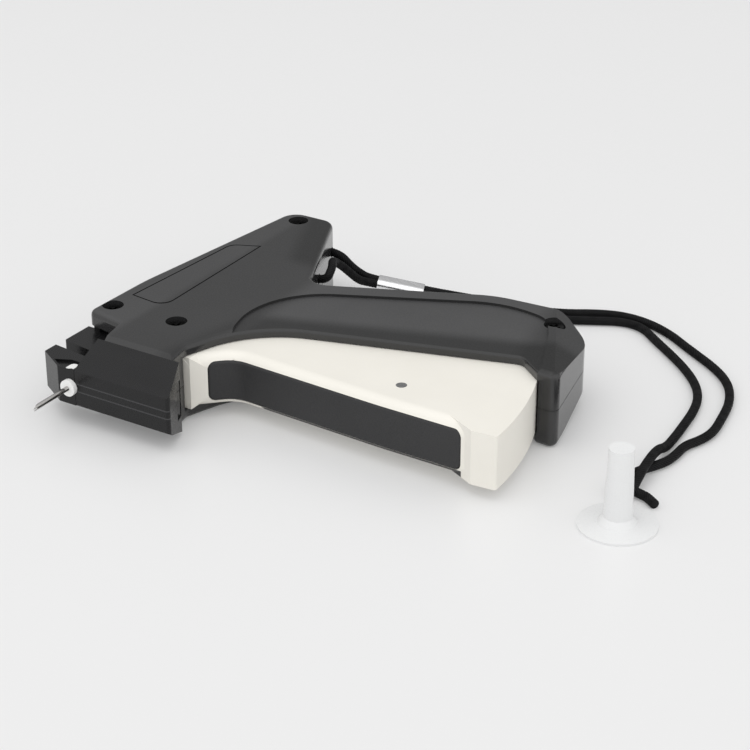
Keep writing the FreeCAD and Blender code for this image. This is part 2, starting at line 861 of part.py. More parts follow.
def make_screws():
    """Four screws, heads in the recesses of the upper half."""
    screws = []
    seat = S.body_thickness - S.screw_recess_depth
    for spot in SCREW_SPOTS:
        x, y = place(spot)
        foot = Vector(x.value, y.value, seat.value - S.screw_length.value)
        head = Vector(x.value, y.value, seat.value)
        shank = Part.makeCylinder(S.screw_shank_radius.value, S.screw_length.value, foot)
        cap = Part.makeCylinder(S.screw_head_radius.value, S.screw_head_height.value, head)
        top = head + Vector(0, 0, S.screw_head_height.value - S.drive_slot_depth.value)
        arm = S.screw_head_radius.value * 0.65
        wide = S.drive_slot_width.value / 2
        cross = []
        for reach_x, reach_y in ((arm, wide), (wide, arm)):
            corner = top - Vector(reach_x, reach_y, 0)
            cross.append(Part.makeBox(reach_x * 2, reach_y * 2, S.overrun.value * 2, corner))
        screws.append(shank.fuse(cap).cut(cross[0].fuse(cross[1])).removeSplitter())
    return put_shape("body_screws", Part.makeCompound(screws))


def put_shape(name, shape):
    """A sub-part whose shape is computed from the sheet."""
    thing = doc.addObject("Part::Feature", name)
    thing.Label = name
    thing.Shape = shape
    bind(thing, "Placement.Base.x", -ORIGIN_X)
    bind(thing, "Placement.Base.y", -ORIGIN_Y)
    return thing


def make_nose_cover():
    """The wedge-shaped cover of the feed in front of the housing."""
    body = new_body("nose_cover")
    block = drawn(body, "plan", draw_outline, corners(COVER_SHARES))
    pad(body, block, S.body_thickness)
    reach, band = S.nose_reach, S.nose_reach - S.nose_band_run
    for way in (1, -1):
        face = SPLIT + S.nose_face_height * way / 2
        edge = SPLIT + S.nose_band_height * way / 2
        back = SPLIT + S.nose_back_height * way / 2
        beyond = SPLIT + (SPLIT + S.overrun) * way
        waste = [
            (ZERO, back, None),
            (-band, edge, None),
            (-reach, face, None),
            (-reach - S.overrun, face, None),
            (-reach - S.overrun, beyond, None),
            (S.overrun, beyond, None),
            (S.overrun, back, None),
        ]
        pocket(body, drawn(body, "slope", draw_outline, waste, plane="XZ_Plane"), S.grip_drop / 3, True)
    hollow_top = SPLIT + S.cover_hollow_height / 2
    hollow = drawn(body, "hollow", draw_outline, corners(COVER_HOLLOW_SHARES), height=hollow_top)
    pocket(body, hollow, S.cover_hollow_height)
    return body


def x_bore(body, name, x_start, radius, length, forward, y=ZERO):
    """A round hole along X at the needle's height, towards -X or towards +X."""
    sketch = drawn(body, name, draw_circle, y, SPLIT, radius, plane="YZ_Plane", height=x_start)
    return pocket(body, sketch, length, not forward)


def make_needle_holder():
    body = new_body("needle_holder")
    low = SPLIT - S.holder_thickness / 2
    pad(body, drawn(body, "plan", draw_outline, corners(HOLDER_SHARES), height=low), S.holder_thickness)
    x_bore(body, "hub_bore", S.hub_body_length - S.nose_reach, S.hub_body_radius, S.hub_body_length + S.overrun, True)
    x_bore(body, "rod_bore", ZERO, S.needle_bore_radius, S.nose_reach, True)
    top = low + S.holder_thickness
    stem_ends = place("hub_stem_front"), place("hub_stem_rear")
    stem = drawn(body, "stem_bore", draw_bar, *stem_ends, S.stem_radius + S.fit_gap, height=top)
    pocket(body, stem, S.holder_thickness / 2)
    recess = drawn(body, "stem_recess", draw_outline, corners(STEM_RECESS_SHARES), height=top)
    pocket(body, recess, S.stem_recess_depth)
    return body


def make_clip_guide():
    body = new_body("clip_guide")
    low = SPLIT - S.guide_thickness / 2
    pad(body, drawn(body, "plan", draw_outline, corners(GUIDE_SHARES), height=low), S.guide_thickness)
    rear = plan_point(GUIDE_SHARES[1])[0]
    x_bore(body, "rod_bore", rear + S.overrun, S.needle_bore_radius, rear + S.overrun * 2, True)
    return body


def make_needle():
    """The slit, hollow needle with its slanted point."""
    body = new_body("needle")
    root = S.nose_reach - S.hub_body_length
    tube = drawn(body, "tube", draw_circle, ZERO, SPLIT, S.needle_radius, plane="YZ_Plane", height=-root)
    pad(body, tube, S.needle_tip_reach - root, False)
    x_bore(body, "bore", -root + S.overrun, S.needle_bore_radius, S.needle_tip_reach, True)
    front = -S.needle_tip_reach
    slit = box_points(front - S.overrun, -S.nose_reach - S.hub_disc_thickness, SPLIT - S.needle_slit / 2, SPLIT + S.needle_slit / 2)
    pocket(body, drawn(body, "slit", draw_outline, slit, plane="XZ_Plane"), S.needle_radius * 2, True)
    point = [
        (front - S.overrun, -S.needle_radius, None),
        (front, -S.needle_radius, None),
        (front + S.needle_bevel_run, S.needle_radius, None),
        (front + S.needle_bevel_run, S.needle_radius + S.overrun, None),
        (front - S.overrun, S.needle_radius + S.overrun, None),
    ]
    cut = drawn(body, "point", draw_outline, point, height=SPLIT + S.needle_radius * 2)
    pocket(body, cut, S.needle_radius * 4)
    return body


def make_needle_hub():
    body = new_body("needle_hub")
    front = -S.nose_reach
    disc = drawn(body, "disc", draw_circle, ZERO, SPLIT, S.hub_disc_radius, plane="YZ_Plane", height=front)
    pad(body, disc, S.hub_disc_thickness, False)
    barrel = drawn(body, "barrel", draw_circle, ZERO, SPLIT, S.hub_body_radius, plane="YZ_Plane", height=front)
    pad(body, barrel, S.hub_body_length)
    stem_ends = place("hub_stem_front"), place("hub_stem_rear")
    stem = drawn(body, "stem", draw_bar, *stem_ends, S.stem_radius, height=SPLIT)
    pad(body, stem, S.holder_thickness / 2 - S.stem_recess_depth + S.stem_rise)
    x_bore(body, "bore", front + S.hub_body_length, S.needle_radius, S.nose_reach, True)
    return body


def pad_line(outer):
    """The outline of the finger pad, or of its recess when the outer line lies further out."""
    radii = [None, S.finger_bend, S.finger_sweep, None, None, S.finger_sweep, S.finger_bend, None]
    spots = [plan_point(shares) for shares in outer + PAD_INNER_SHARES]
    return [(x, y, radius) for (x, y), radius in zip(spots, radii)]


def pad_corner(edge):
    """A test for the four short edges across the ends of the finger pad or of its recess."""
    box = edge.BoundBox
    width = S.pad_width.value / 2
    level = any(abs(box.ZMin - z) < 1e-4 and abs(box.ZMax - z) < 1e-4 for z in (SPLIT.value - width, SPLIT.value + width))
    middle = Vector(box.Center.x, box.Center.y, 0)
    for outer, inner in ((0, 3), (3, 0)):
        ends = [plan_point(PAD_OUTER_SHARES[outer]), plan_point(PAD_INNER_SHARES[inner])]
        across = [Vector(x.value, y.value, 0) for x, y in ends]
        line = (across[1] - across[0]).normalize()
        off_line = (middle - across[0]).cross(line).Length
        if level and off_line < 1e-3 and middle.distanceToPoint(across[1]) < S.pad_thickness.value * 2:
            return True
    return False


def pad_strip(name, outer, shifted=True):
    """The finger pad with its four rounded corners, or the space that it sits in."""
    body = new_body(name, shifted)
    strip = drawn(body, "plan", draw_outline, pad_line(outer), height=SPLIT - S.pad_width / 2)
    strip = pad(body, strip, S.pad_width)
    return body, round_edges(body, strip, edges_where(strip, pad_corner), S.pad_end_corner)


def make_trigger():
    body = new_body("trigger")
    top = TRIGGER_FLOOR + S.trigger_thickness
    blank = pad(body, drawn(body, "plan", draw_outline, corners(TRIGGER_SHARES), height=TRIGGER_FLOOR), S.trigger_thickness)
    ear_low = plan_point(TRIGGER_SHARES[1])
    toe = plan_point(TRIGGER_SHARES[4])
    finger_x = plan_point(TRIGGER_SHARES[2])[0] + S.finger_bend / 2
    flat = [lies_at(TRIGGER_FLOOR), lies_at(top)]

    def finger_side(edge):
        box = edge.BoundBox
        along = box.YMax < ear_low[1].value + 1e-4 and box.YMin > toe[1].value - 1e-4
        return any(test(edge) for test in flat) and along and box.XMax < finger_x.value
    round_edges(body, blank, edges_where(blank, finger_side), S.trigger_front_round)
    ear_top = place("trigger_pivot")[1]
    ear_end = plan_point(PAD_OUTER_SHARES[0])[1]
    ear = [
        (ear_top, TRIGGER_FLOOR, None),
        (ear_low[1], TRIGGER_FLOOR, None),
        (ear_end, TRIGGER_FLOOR + S.trigger_front_round, None),
        (ear_end, top - S.trigger_front_round, None),
        (ear_low[1], top, None),
        (ear_top, top, None),
    ]
    block = drawn(body, "ear", draw_outline, ear, plane="YZ_Plane", height=ear_low[0])
    pad(body, block, S.trigger_wall * 2.5)
    bend = plan_point(TRIGGER_SHARES[2])
    beyond = ear_low[0] - S.overrun
    waste = [(*ear_low, None), (beyond, ear_low[1], None), (beyond, bend[1], None), (*bend, None)]
    pocket(body, drawn(body, "ear_face", draw_outline, waste, height=top), S.trigger_thickness)
    space, strip = pad_strip("pad_space", PAD_RECESS_SHARES, False)
    cut_away(body, space)
    inside = S.trigger_thickness - S.trigger_wall * 2
    channel = drawn(body, "channel", draw_outline, corners(CHANNEL_SHARES), height=SPLIT + inside / 2)
    pocket(body, channel, inside)
    bore = drawn(body, "bore", draw_circle, *place("trigger_pivot"), S.trigger_pin_radius + S.running_gap, height=top)
    pocket(body, bore, S.trigger_thickness)
    link = drawn(body, "link", draw_circle, *place("link_pin"), S.link_pin_radius, height=top)
    pocket(body, link, S.trigger_thickness)
    return body


def make_trigger_pad():
    body, strip = pad_strip("trigger_pad", PAD_OUTER_SHARES)
    low = SPLIT - S.pad_width / 2
    flat = [lies_at(low), lies_at(low + S.pad_width)]
    spots = [plan_point(shares) for shares in PAD_OUTER_SHARES]
    front = Part.makePolygon([Vector(x.value, y.value, 0) for x, y in spots])

    def outer_edge(edge):
        middle = edge.valueAt((edge.FirstParameter + edge.LastParameter) / 2)
        away = front.distToShape(Part.Vertex(middle.x, middle.y, 0))[0]
        return any(test(edge) for test in flat) and away < S.pad_round.value / 2
    round_edges(body, strip, edges_where(strip, outer_edge), S.pad_round)
    return body


def make_pin(name, spot, radius, low, length):
    body = new_body(name)
    pad(body, drawn(body, "round", draw_circle, *place(spot), radius, height=low), length)
    return body


def rest_angle():
    """Direction of the lever's upper arm at rest: half the swing short of straight up."""
    return 90 - S.lever_swing.value / 2


def fork_angle():
    """Direction of the fork at rest, a little behind the link pin so that the pin keeps clear."""
    pivot, pin = place("lever_pivot"), place("link_pin")
    return math.degrees(math.atan2(pin[1].value - pivot[1].value, pin[0].value - pivot[0].value)) - FORK_LAG


FORK_LAG = 0.7


def make_drive_lever():
    """Lever between the trigger's link pin and the slider."""
    body = new_body("drive_lever")
    low = SPLIT - S.lever_thickness / 2
    pivot = place("lever_pivot")
    tip = swung(pivot, S.lever_reach, rest_angle())
    fork = swung(pivot, S.lever_fork_length, fork_angle())
    pad(body, drawn(body, "arm", draw_bar, pivot, tip, S.lever_arm_half_width, height=low), S.lever_thickness)
    pad(body, drawn(body, "tip", draw_circle, *tip, S.lever_tip_radius, height=low), S.lever_thickness)
    pad(body, drawn(body, "fork", draw_bar, pivot, fork, S.lever_fork_half_width, height=low), S.lever_thickness)
    pad(body, drawn(body, "disc", draw_circle, *pivot, S.lever_disc_radius, height=low), S.lever_thickness)
    hub_low = SPLIT - S.lever_hub_height / 2
    pad(body, drawn(body, "hub", draw_circle, *pivot, S.lever_hub_radius, height=hub_low), S.lever_hub_height)
    slot_start = swung(pivot, S.lever_fork_slot_start, fork_angle())
    slot_end = swung(pivot, S.lever_fork_length + S.lever_fork_half_width * 2, fork_angle())
    slot = drawn(body, "slot", draw_bar, slot_start, slot_end, S.lever_fork_slot_half_width, height=low + S.lever_thickness)
    pocket(body, slot, S.lever_thickness)
    bore_top = hub_low + S.lever_hub_height
    bore = drawn(body, "bore", draw_circle, *pivot, S.lever_pin_radius + S.running_gap, height=bore_top)
    pocket(body, bore, S.lever_hub_height)
    return body


def make_lever_bracket():
    """Yoke that carries the lever's pin, clamped between the posts of the housing."""
    body = new_body("lever_bracket")
    thickness = S.bracket_opening + S.bracket_cheek * 2
    low = SPLIT - thickness / 2
    pivot, post = place("lever_pivot"), place("bracket_post")
    pad(body, drawn(body, "plan", draw_bar, pivot, post, S.bracket_half_width, height=low), thickness)
    throat = post[0] - S.bracket_post_radius - S.overrun
    gap = box_points(pivot[0] - S.bracket_half_width * 2, throat, post[1] - S.bracket_half_width * 2, post[1] + S.bracket_half_width * 2)
    pocket(body, drawn(body, "gap", draw_outline, gap, height=SPLIT + S.bracket_opening / 2), S.bracket_opening)
    hole = drawn(body, "hole", draw_circle, *pivot, S.lever_pin_radius, height=low + thickness)
    pocket(body, hole, thickness)
    return body


def make_return_spring():
    """Torsion spring wound round the lever's hub, on tangent arcs."""
    wire_radius, pitch = S.spring_wire_radius.value, S.spring_pitch.value
    low = SPLIT.value + S.lever_thickness.value / 2 + wire_radius + S.fit_gap.value
    corner = S.spring_coil_radius.value / math.cos(math.pi / CORNERS)
    x, y = place("lever_pivot")
    route = []
    for step in range(int(WINDINGS * CORNERS) + 1):
        turn = 2 * math.pi * step / CORNERS
        spot_x = x.value + corner * math.cos(turn)
        spot_y = y.value + corner * math.sin(turn)
        route.append((spot_x, spot_y, low + pitch * step / CORNERS))
    print("return_spring: gap between turns %.2f" % (pitch - wire_radius * 2))
    return make_cord("return_spring", route, S.spring_wire_radius)


def slider_x():
    pivot = place("lever_pivot")
    return swung(pivot, S.lever_reach, rest_angle())[0]


def lever_travel():
    return 2 * S.lever_reach.value * math.sin(math.radians(S.lever_swing.value / 2))


def make_push_slider():
    body = new_body("push_slider")
    low = SPLIT - S.slider_thickness / 2
    x = slider_x()
    half = S.slider_length / 2
    block = box_points(x - half, x + half, -S.slider_low, S.slider_high)
    pad(body, drawn(body, "plan", draw_outline, block, height=low), S.slider_thickness)
    slot_top = swung(place("lever_pivot"), S.lever_reach, 90)[1] + S.lever_tip_radius - S.slider_slot_half_width
    spots = (x, -S.slider_low * 2), (x, slot_top + S.fit_gap * 2)
    slot_height = S.lever_thickness + S.overrun * 0.8
    slot = drawn(body, "slot", draw_bar, *spots, S.slider_slot_half_width, height=SPLIT + slot_height / 2)
    pocket(body, slot, slot_height)
    x_bore(body, "rod_hole", x - half + rod_seat(), S.push_rod_radius, S.slider_length, True)
    return body


def rod_seat():
    """Depth of the push rod in the slider's front wall."""
    return S.slider_length / 2 - S.slider_slot_half_width - S.fit_gap * 2


def make_push_rod():
    """Rod that reaches the needle's tip when the trigger is squeezed home."""
    body = new_body("push_rod")
    tip = as_size(lever_travel()) - S.needle_tip_reach + S.needle_bevel_run * 0.6
    end = slider_x() - S.slider_length / 2 + rod_seat()
    rod = drawn(body, "round", draw_circle, ZERO, SPLIT, S.push_rod_radius, plane="YZ_Plane", height=tip)
    pad(body, rod, end - tip)
    return body


def make_feed_wheel():
    """Star wheel that draws the clip of fasteners through the slot."""
    body = new_body("feed_wheel")
    x, y = place("feed_wheel")
    low = SPLIT - S.wheel_thickness / 2
    hub_height = S.cover_hollow_height - S.fit_gap * 2
    pad(body, drawn(body, "core", draw_circle, x, y, S.wheel_root_radius, height=low), S.wheel_thickness)
    hub_low = SPLIT - hub_height / 2
    pad(body, drawn(body, "hub", draw_circle, x, y, S.wheel_axle_radius * 2, height=hub_low), hub_height)
    for tooth in range(WHEEL_TEETH):
        turn = 360 / WHEEL_TEETH * (tooth + 0.5)
        root = swung((x, y), S.wheel_root_radius - S.wheel_tooth_half_width, turn)
        tip = swung((x, y), S.wheel_tip_radius - S.wheel_tooth_half_width, turn)
        pad(body, drawn(body, "tooth", draw_bar, root, tip, S.wheel_tooth_half_width, height=low), S.wheel_thickness)
    bore = drawn(body, "bore", draw_circle, x, y, S.wheel_axle_radius + S.running_gap, height=hub_low + hub_height)
    pocket(body, bore, hub_height)
    return body


def make_feed_pawl():
    body = new_body("feed_pawl")
    low = SPLIT - S.pawl_thickness / 2
    pivot, heel = place("pawl_pivot"), place("pawl_heel")
    pad(body, drawn(body, "arm", draw_bar, pivot, heel, S.pawl_half_width, height=low), S.pawl_thickness)
    hub_height = S.cover_hollow_height - S.fit_gap * 2
    hub_low = SPLIT - hub_height / 2
    pad(body, drawn(body, "boss", draw_circle, *pivot, S.pawl_boss_radius, height=hub_low), hub_height)
    root, nose = place("pawl_nose_root"), place("pawl_nose")
    pad(body, drawn(body, "nose", draw_bar, root, nose, S.pawl_nose_half_width, height=low), S.pawl_thickness)
    bore = drawn(body, "bore", draw_circle, *pivot, S.pawl_pin_radius + S.running_gap, height=hub_low + hub_height)
    pocket(body, bore, hub_height)
    return body


def make_needle_cap():
    """Cap of the needle: a hollow stem on a round flange, standing on the floor."""
    body = new_body("needle_cap")
    x, y = place("cap")
    bind(body, "Placement.Base.x", x - ORIGIN_X)
    bind(body, "Placement.Base.y", y - ORIGIN_Y)
    profile = [
        (S.cap_bore_radius, ZERO, None),
        (S.cap_flange_radius, ZERO, None),
        (S.cap_flange_radius, S.cap_flange_thickness / 2, None),
        (S.cap_root_radius + S.cap_flange_thickness, S.cap_flange_thickness, None),
        (S.cap_root_radius, S.cap_root_height, None),
        (S.cap_tip_radius, S.cap_height, None),
        (ZERO, S.cap_height, None),
        (ZERO, S.cap_bore_depth, None),
        (S.cap_bore_radius, S.cap_bore_depth, None),
    ]
    sketch = drawn(body, "profile", draw_outline, profile, plane="XZ_Plane")
    turned = body.newObject("PartDesign::Revolution", "needle_cap_turned")
    turned.Profile = sketch
    turned.ReferenceAxis = (sketch, ["V_Axis"])
    turned.Angle = 360
    doc.recompute()
    return body


def cord_path(points):
    """Straight runs joined by tangent arcs, each as large as its two runs allow."""
    spots = [Vector(*point) for point in points]
    edges, radii = [], []
    here = spots[0]
    for step in range(1, len(spots) - 1):
        back = spots[step - 1] - spots[step]
        ahead = spots[step + 1] - spots[step]
        cut = ARC_SHARE * min(back.Length, ahead.Length)
        back.normalize()
        ahead.normalize()
        half_turn = (math.pi - back.getAngle(ahead)) / 2
        radii.append(cut / math.tan(half_turn))
        start, end = spots[step] + back * cut, spots[step] + ahead * cut
        middle = (back + ahead).normalize()
        top = spots[step] + middle * (radii[-1] / math.cos(half_turn) - radii[-1])
        edges.append(Part.LineSegment(here, start).toShape())
        edges.append(Part.Arc(start, top, end).toShape())
        here = end
    edges.append(Part.LineSegment(here, spots[-1]).toShape())
    return Part.Wire(edges), radii


ARC_SHARE = 0.45


def make_cord(name, points, radius):
    """A round cord along its route; prints its radii and compares its volume."""
    wire, radii = cord_path(points)
    first = wire.Edges[0]
    ring = Part.makeCircle(radius.value, first.valueAt(0), first.tangentAt(0))
    tube = wire.makePipeShell([Part.Wire(ring)], True, False)
    expected = math.pi * radius.value ** 2 * wire.Length
    print("%s: length %.1f, least radius %.1f, radii %s" % (
        name, wire.Length, min(radii), " ".join("%.0f" % bend for bend in radii)))
    print("%s: volume over section times length %.4f" % (name, tube.Volume / expected))
    return put_shape(name, tube)


def make_strap_sleeve():
    """Flat metal sleeve crimped round both strands."""
    start, end = [Vector(*point) for point in SLEEVE_ENDS]
    along = (end - start).normalize()
    across = along.cross(Vector(0, 0, 1)).normalize()
    spread = across * (Vector(*STRAND_NEAR[8]).distanceToPoint(Vector(*STRAND_FAR[4])) / 2)

    def ring(radius):
        up = across.cross(along) * radius
        side = across * radius
        spots = [start + spread, start - spread]
        return Part.Wire([
            Part.Arc(spots[0] + up, spots[0] + side, spots[0] - up).toShape(),
            Part.LineSegment(spots[0] - up, spots[1] - up).toShape(),
            Part.Arc(spots[1] - up, spots[1] - side, spots[1] + up).toShape(),
            Part.LineSegment(spots[1] + up, spots[0] + up).toShape(),
        ])
    bore = S.strap_radius.value + S.fit_gap.value
    outside = Part.Face(ring(bore + S.sleeve_wall.value))
    inside = Part.Face(ring(bore))
    return put_shape("strap_sleeve", outside.cut(inside).extrude(end - start))


def make_strap_knot():
    knot = doc.addObject("Part::Ellipsoid", "strap_knot")
    knot.Label = "strap_knot"
    bind(knot, "Radius1", S.knot_half_height)
    bind(knot, "Radius2", S.knot_half_length)
    bind(knot, "Radius3", S.knot_half_width)
    x, y = place("knot")
    bind(knot, "Placement.Base.x", x - ORIGIN_X)
    bind(knot, "Placement.Base.y", y - ORIGIN_Y)
    bind(knot, "Placement.Base.z", S.knot_half_height)
    doc.recompute()
    return knot


def build_all():
    pin_low = S.side_wall / 2
    hollow_low = SPLIT - S.cover_hollow_height / 2
    bracket_thickness = S.bracket_opening + S.bracket_cheek * 2
    return [
        housing_half("upper_housing", True),
        housing_half("lower_housing", False),
        make_screws(),
        make_nose_cover(),
        make_needle_holder(),
        make_clip_guide(),
        make_needle(),
        make_needle_hub(),
        make_trigger(),
        make_trigger_pad(),
        make_pin("trigger_pin", "trigger_pivot", S.trigger_pin_radius, pin_low, S.body_thickness - pin_low * 2),
        make_pin("link_pin", "link_pin", S.link_pin_radius, TRIGGER_FLOOR, S.trigger_thickness),
        make_drive_lever(),
        make_lever_bracket(),
        make_pin("lever_pin", "lever_pivot", S.lever_pin_radius, SPLIT - bracket_thickness / 2, bracket_thickness),
        make_return_spring(),
        make_push_slider(),
        make_push_rod(),
        make_feed_wheel(),
        make_pin("feed_axle", "feed_wheel", S.wheel_axle_radius, hollow_low, S.cover_hollow_height),
        make_feed_pawl(),
        make_pin("pawl_pin", "pawl_pivot", S.pawl_pin_radius, hollow_low, S.cover_hollow_height),
        make_needle_cap(),
        make_cord("strap_inside", STRAP_INSIDE, S.strap_radius),
        make_cord("strap_strand_near", STRAND_NEAR, S.strap_radius),
        make_cord("strap_strand_far", STRAND_FAR, S.strap_radius),
        make_cord("strap_tail", STRAP_TAIL, S.strap_radius),
        make_strap_sleeve(),
        make_strap_knot(),
    ]


def prove(parts):
    """Stops when any object failed or any shape is empty or broken."""
    doc.recompute()
    for thing in doc.Objects:
        if "Invalid" in thing.State or "Error" in thing.State:
            raise ValueError("failed object: " + thing.Name)
    for part in parts:
        if part.Shape.isNull() or not part.Shape.isValid() or not part.Shape.Solids:
            raise ValueError("bad shape: " + part.Label)


def write(parts):
    os.makedirs("parts", exist_ok=True)
    for part in parts:
        part.Shape.exportStep("parts/" + part.Label + ".step")


parts = build_all()
prove(parts)
write(parts)
whole = Part.makeCompound([part.Shape for part in parts])
print("pieces %d, box %s" % (len(parts), whole.BoundBox))
print("slider travel %.3f" % lever_travel())
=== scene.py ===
"""Looks of the garment tag attacher: finishes of the moulded and metal pieces, and its cord strap.

Everything is in metres. The needle points to -X, +Y runs up to the barrel, and the tool lies
flat on z = 0.
"""
import math

import bpy
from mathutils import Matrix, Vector


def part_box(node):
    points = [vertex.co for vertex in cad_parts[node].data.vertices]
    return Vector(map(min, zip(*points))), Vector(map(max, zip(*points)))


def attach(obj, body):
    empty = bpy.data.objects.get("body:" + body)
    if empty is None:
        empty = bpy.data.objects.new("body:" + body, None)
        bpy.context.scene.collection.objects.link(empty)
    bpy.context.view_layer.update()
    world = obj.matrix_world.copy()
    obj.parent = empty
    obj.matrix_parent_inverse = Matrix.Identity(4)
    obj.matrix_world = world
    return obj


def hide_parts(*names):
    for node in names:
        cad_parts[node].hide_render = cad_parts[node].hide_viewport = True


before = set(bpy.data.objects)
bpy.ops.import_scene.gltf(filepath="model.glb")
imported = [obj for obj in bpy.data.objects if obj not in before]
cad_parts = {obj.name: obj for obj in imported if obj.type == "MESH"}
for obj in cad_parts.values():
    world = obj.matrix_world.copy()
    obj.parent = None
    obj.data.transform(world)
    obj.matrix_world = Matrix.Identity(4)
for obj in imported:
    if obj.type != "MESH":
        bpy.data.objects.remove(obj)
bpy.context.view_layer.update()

bpy.ops.object.select_all(action="DESELECT")
bpy.context.scene.view_settings.view_transform = "Standard"

MM = 0.001
ORIGIN = Vector((43.25, -84.9, 0.0))


def spot(x, y, z):
    """A place measured in millimetres from the needle's axis and the housing's front plane."""
    return (Vector((x, y, z)) - ORIGIN) * MM


# Camera, light and floor.

SENSOR_WIDTH = 36.0
LENS = 100.8
CAMERA_PLACE = spot(-456.8, -389.7, 314.2)
CAMERA_WAY = Vector((0.756, 0.472, -0.454))
TENT_WAY = (-0.71, -0.44, 0.55)
TENT_EDGES = (-0.75, 0.55)
TENT_LEVELS = (0.28, 1.2)
FLOOR_SIDE = 8.0
FLOOR_GLOW = 0.15


def aim(thing, target):
    away = thing.location - target
    thing.rotation_euler = away.to_track_quat("Z", "Y").to_euler()


def add_camera():
    lens = bpy.data.cameras.new("camera")
    lens.sensor_width = SENSOR_WIDTH
    lens.lens = LENS
    camera = bpy.data.objects.new("camera", lens)
    bpy.context.collection.objects.link(camera)
    camera.location = CAMERA_PLACE
    aim(camera, camera.location + CAMERA_WAY)
    bpy.context.scene.camera = camera


def add_lamp(name, place, target, size, watts):
    light = bpy.data.lights.new(name, "AREA")
    light.shape = "DISK"
    light.size = size
    light.energy = watts
    lamp = bpy.data.objects.new(name, light)
    bpy.context.collection.objects.link(lamp)
    lamp.location = place
    aim(lamp, Vector(target))


def add_tent():
    """White light from all round, brighter on the camera's side than behind the tool."""
    world = bpy.data.worlds.new("studio")
    world.use_nodes = True
    tree = world.node_tree
    way = tree.nodes.new("ShaderNodeTexCoord").outputs["Generated"]
    facing = tree.nodes.new("ShaderNodeVectorMath")
    facing.operation = "DOT_PRODUCT"
    facing.inputs[1].default_value = TENT_WAY
    tree.links.new(way, facing.inputs[0])
    level = even_step(tree, facing.outputs["Value"], *TENT_EDGES, *TENT_LEVELS)
    back = tree.nodes["Background"]
    back.inputs["Color"].default_value = (1.0, 1.0, 1.0, 1.0)
    tree.links.new(level, back.inputs["Strength"])
    bpy.context.scene.world = world


def add_floor(finish):
    bpy.ops.mesh.primitive_plane_add(size=FLOOR_SIDE, location=(0.0, 0.0, 0.0))
    floor = bpy.context.active_object
    floor.name = "floor"
    floor.data.materials.append(finish)


# Values that change over a surface.

def even_step(tree, value, start, end, low, high):
    """A value that goes evenly from low to high between start and end."""
    step = tree.nodes.new("ShaderNodeMapRange")
    step.inputs["From Min"].default_value = start
    step.inputs["From Max"].default_value = end
    step.inputs["To Min"].default_value = low
    step.inputs["To Max"].default_value = high
    tree.links.new(value, step.inputs["Value"])
    return step.outputs["Result"]


def soft_step(tree, value, start, end, low, high):
    """A value that goes softly from low to high between start and end."""
    result = even_step(tree, value, start, end, low, high)
    result.node.interpolation_type = "SMOOTHSTEP"
    return result


def line_at(tree, value, level, half_width):
    """1 where the value is within half a width of the level, and 0 elsewhere."""
    line = tree.nodes.new("ShaderNodeMath")
    line.operation = "COMPARE"
    line.inputs[1].default_value = level
    line.inputs[2].default_value = half_width
    tree.links.new(value, line.inputs[0])
    return line.outputs["Value"]


def product(tree, first, second):
    times = tree.nodes.new("ShaderNodeMath")
    times.operation = "MULTIPLY"
    tree.links.new(first, times.inputs[0])
    tree.links.new(second, times.inputs[1])
    return times.outputs["Value"]


def opposite(tree, value):
    """1 where the value is 0, and 0 where it is 1."""
    rest = tree.nodes.new("ShaderNodeMath")
    rest.operation = "SUBTRACT"
    rest.inputs[0].default_value = 1.0
    tree.links.new(value, rest.inputs[1])
    return rest.outputs["Value"]


def faded(tree, value, weight):
    """The value where the weight is 1, and 1 where the weight is 0."""
    mix = tree.nodes.new("ShaderNodeMix")
    mix.inputs["A"].default_value = 1.0
    tree.links.new(value, mix.inputs["B"])
    tree.links.new(weight, mix.inputs["Factor"])
    return mix.outputs["Result"]


def directions(tree, vector):
    """The X, Y and Z of a vector, each by its name."""
    parts = tree.nodes.new("ShaderNodeSeparateXYZ")
    tree.links.new(vector, parts.inputs["Vector"])
    return parts.outputs


def coordinates(tree, kind):
    return tree.nodes.new("ShaderNodeTexCoord").outputs[kind]


def reach_along(tree, place, way, start):
    """How far a place lies past a starting point, measured along a level direction."""
    reach = tree.nodes.new("ShaderNodeVectorMath")
    reach.operation = "DOT_PRODUCT"
    reach.inputs[1].default_value = (*way, 0.0)
    tree.links.new(place, reach.inputs[0])
    shift = tree.nodes.new("ShaderNodeMath")
    shift.operation = "SUBTRACT"
    origin = spot(*start, 0.0)
    shift.inputs[1].default_value = origin.x * way[0] + origin.y * way[1]
    tree.links.new(reach.outputs["Value"], shift.inputs[0])
    return shift.outputs["Value"]


def add_noise(tree, place, detail, roughness=0.5):
    noise = tree.nodes.new("ShaderNodeTexNoise")
    noise.inputs["Detail"].default_value = detail
    noise.inputs["Roughness"].default_value = roughness
    tree.links.new(place, noise.inputs["Vector"])
    return noise


NOISE_MIDDLE = (0.3, 0.7)


def ramp(tree, value, low, high):
    """A value spread from low to high over the middle of a noise."""
    return even_step(tree, value, *NOISE_MIDDLE, low, high)


def blend_tones(tree, factor, first, second):
    mix = tree.nodes.new("ShaderNodeMix")
    mix.data_type = "RGBA"
    mix.inputs["A"].default_value = (*first, 1.0)
    mix.inputs["B"].default_value = (*second, 1.0)
    tree.links.new(factor, mix.inputs["Factor"])
    return mix.outputs["Result"]


def scaled_tones(tree, tones, factor):
    scaled = tree.nodes.new("ShaderNodeVectorMath")
    scaled.operation = "SCALE"
    tree.links.new(tones, scaled.inputs[0])
    tree.links.new(factor, scaled.inputs["Scale"])
    return scaled.outputs["Vector"]


# Node groups.

GRAIN_DETAIL = 2.0
CLOUD_DETAIL = 4.0
CLOUD_ROUGHNESS = 0.6
GRAIN_HEIGHT = 0.1 * MM


